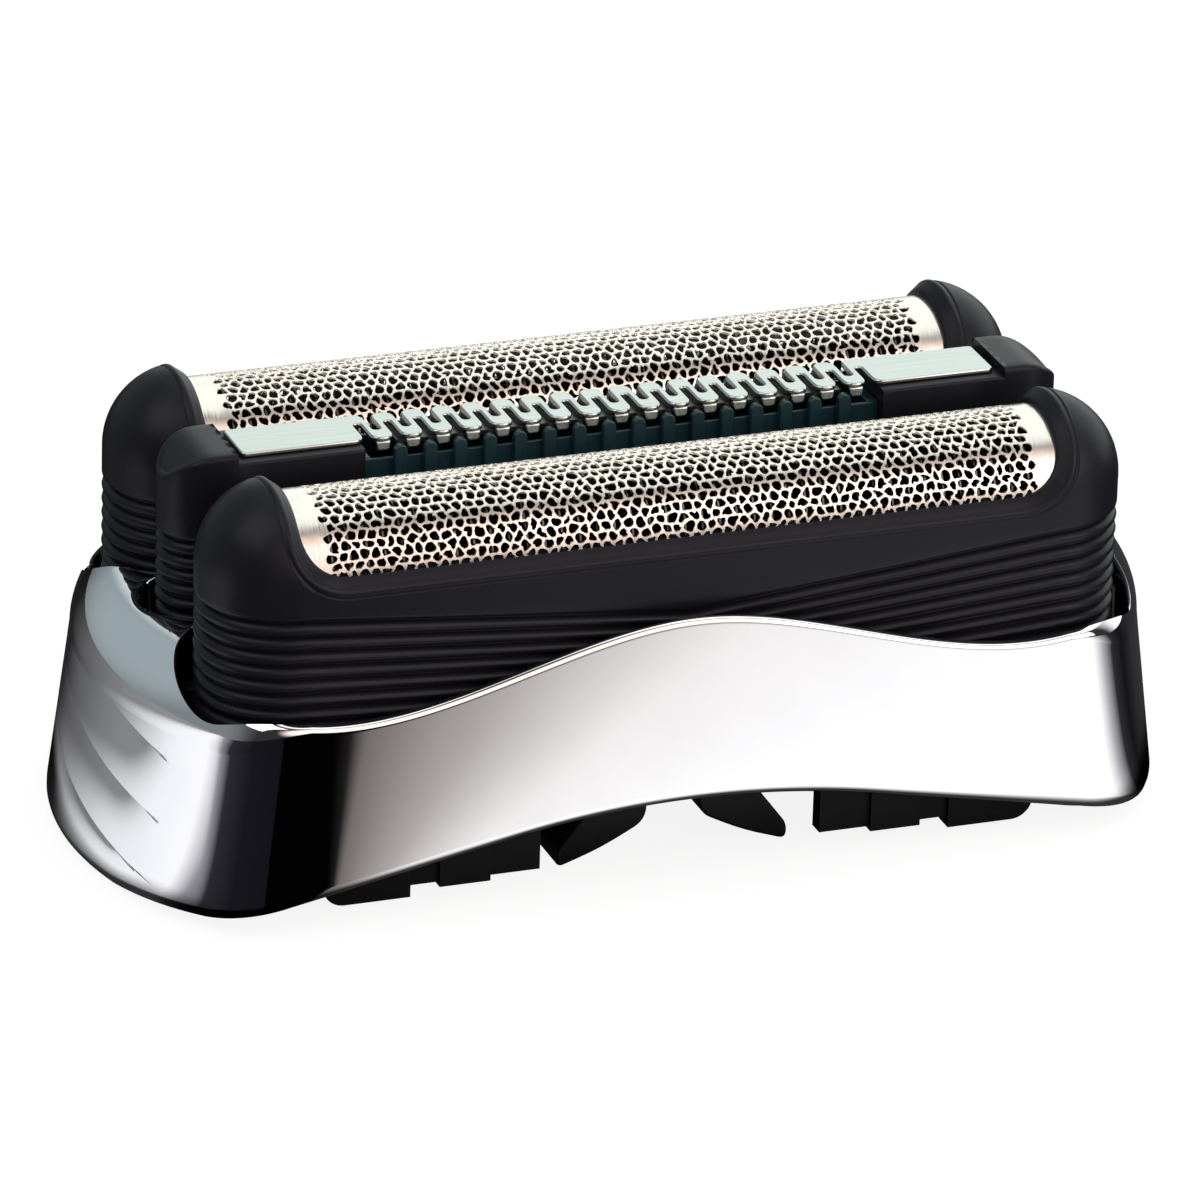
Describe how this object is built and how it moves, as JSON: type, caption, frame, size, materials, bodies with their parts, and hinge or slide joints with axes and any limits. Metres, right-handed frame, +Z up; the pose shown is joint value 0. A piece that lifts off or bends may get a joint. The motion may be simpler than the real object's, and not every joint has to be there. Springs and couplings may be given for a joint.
{
  "type": "shaver foil head",
  "caption": "Foil head for an electric shaver: floating foil cartridges and a floating centre trimmer in a plated ring, with sprung cutters and drive forks below.",
  "frame": {"origin": "middle of the head in plan, on the plane that its foot stands on", "axes": "+X along the foils, to the right seen from the front; +Y from the front to the rear; +Z up through the foils"},
  "size_m": [0.06, 0.0282, 0.0229],
  "materials": {
    "chrome_plate": "polished",
    "black_moulding": "satin",
    "carrier_moulding": "satin",
    "foil_nickel": "electroformed",
    "blade_steel": "satin",
    "guard_moulding": "satin",
    "cutter_moulding": "matt",
    "spring_wire": "drawn"
  },
  "bodies": {
    "frame": {"chrome_frame": "chrome_plate", "inner_carrier": "carrier_moulding", "trimmer_spring_left": "spring_wire", "trimmer_spring_right": "spring_wire"},
    "front_cartridge": {"front_foil_frame": "black_moulding", "front_foil": "foil_nickel"},
    "front_cutter": {"front_cutter_holder": "cutter_moulding", "front_cutter_lamellae": "blade_steel"},
    "front_driver": {"front_cutter_driver": "cutter_moulding", "front_cutter_spring_left": "spring_wire", "front_cutter_spring_right": "spring_wire"},
    "rear_cartridge": {"rear_foil_frame": "black_moulding", "rear_foil": "foil_nickel"},
    "rear_cutter": {"rear_cutter_holder": "cutter_moulding", "rear_cutter_lamellae": "blade_steel"},
    "rear_driver": {"rear_cutter_driver": "cutter_moulding", "rear_cutter_spring_left": "spring_wire", "rear_cutter_spring_right": "spring_wire"},
    "trimmer": {"trimmer_body": "black_moulding", "trimmer_guard": "guard_moulding", "trimmer_comb": "blade_steel"},
    "trimmer_cutter": {"trimmer_blade": "blade_steel", "trimmer_driver": "cutter_moulding"}
  },
  "joints": [
    {"name": "front_foil_float", "type": "slide", "parent": "frame", "child": "front_cartridge", "axis": [0, 0, 1], "range_m": [-0.002, 0], "stiffness_N_per_m": 300, "springref_m": 0.002, "deforming": ["front_cutter_spring_left", "front_cutter_spring_right"]},
    {"name": "rear_foil_float", "type": "slide", "parent": "frame", "child": "rear_cartridge", "axis": [0, 0, 1], "range_m": [-0.002, 0], "stiffness_N_per_m": 300, "springref_m": 0.002, "deforming": ["rear_cutter_spring_left", "rear_cutter_spring_right"]},
    {"name": "trimmer_float", "type": "slide", "parent": "frame", "child": "trimmer", "axis": [0, 0, 1], "range_m": [-0.002, 0], "stiffness_N_per_m": 300, "springref_m": 0.002, "deforming": ["trimmer_spring_left", "trimmer_spring_right"]},
    {"name": "front_driver_stroke", "type": "slide", "parent": "frame", "child": "front_driver", "axis": [1, 0, 0], "range_m": [-0.001, 0.001]},
    {"name": "rear_driver_stroke", "type": "slide", "parent": "frame", "child": "rear_driver", "axis": [1, 0, 0], "range_m": [-0.001, 0.001]},
    {"name": "front_cutter_stroke", "type": "slide", "parent": "front_cartridge", "child": "front_cutter", "axis": [1, 0, 0], "range_m": [-0.001, 0.001]},
    {"name": "rear_cutter_stroke", "type": "slide", "parent": "rear_cartridge", "child": "rear_cutter", "axis": [1, 0, 0], "range_m": [-0.001, 0.001]},
    {"name": "trimmer_blade_stroke", "type": "slide", "parent": "trimmer", "child": "trimmer_cutter", "axis": [1, 0, 0], "range_m": [-0.0008, 0.0008]}
  ],
  "couplings": [
    {"joint": "front_cutter_stroke", "follows": "front_driver_stroke", "ratio": 1},
    {"joint": "rear_cutter_stroke", "follows": "rear_driver_stroke", "ratio": 1}
  ]
}
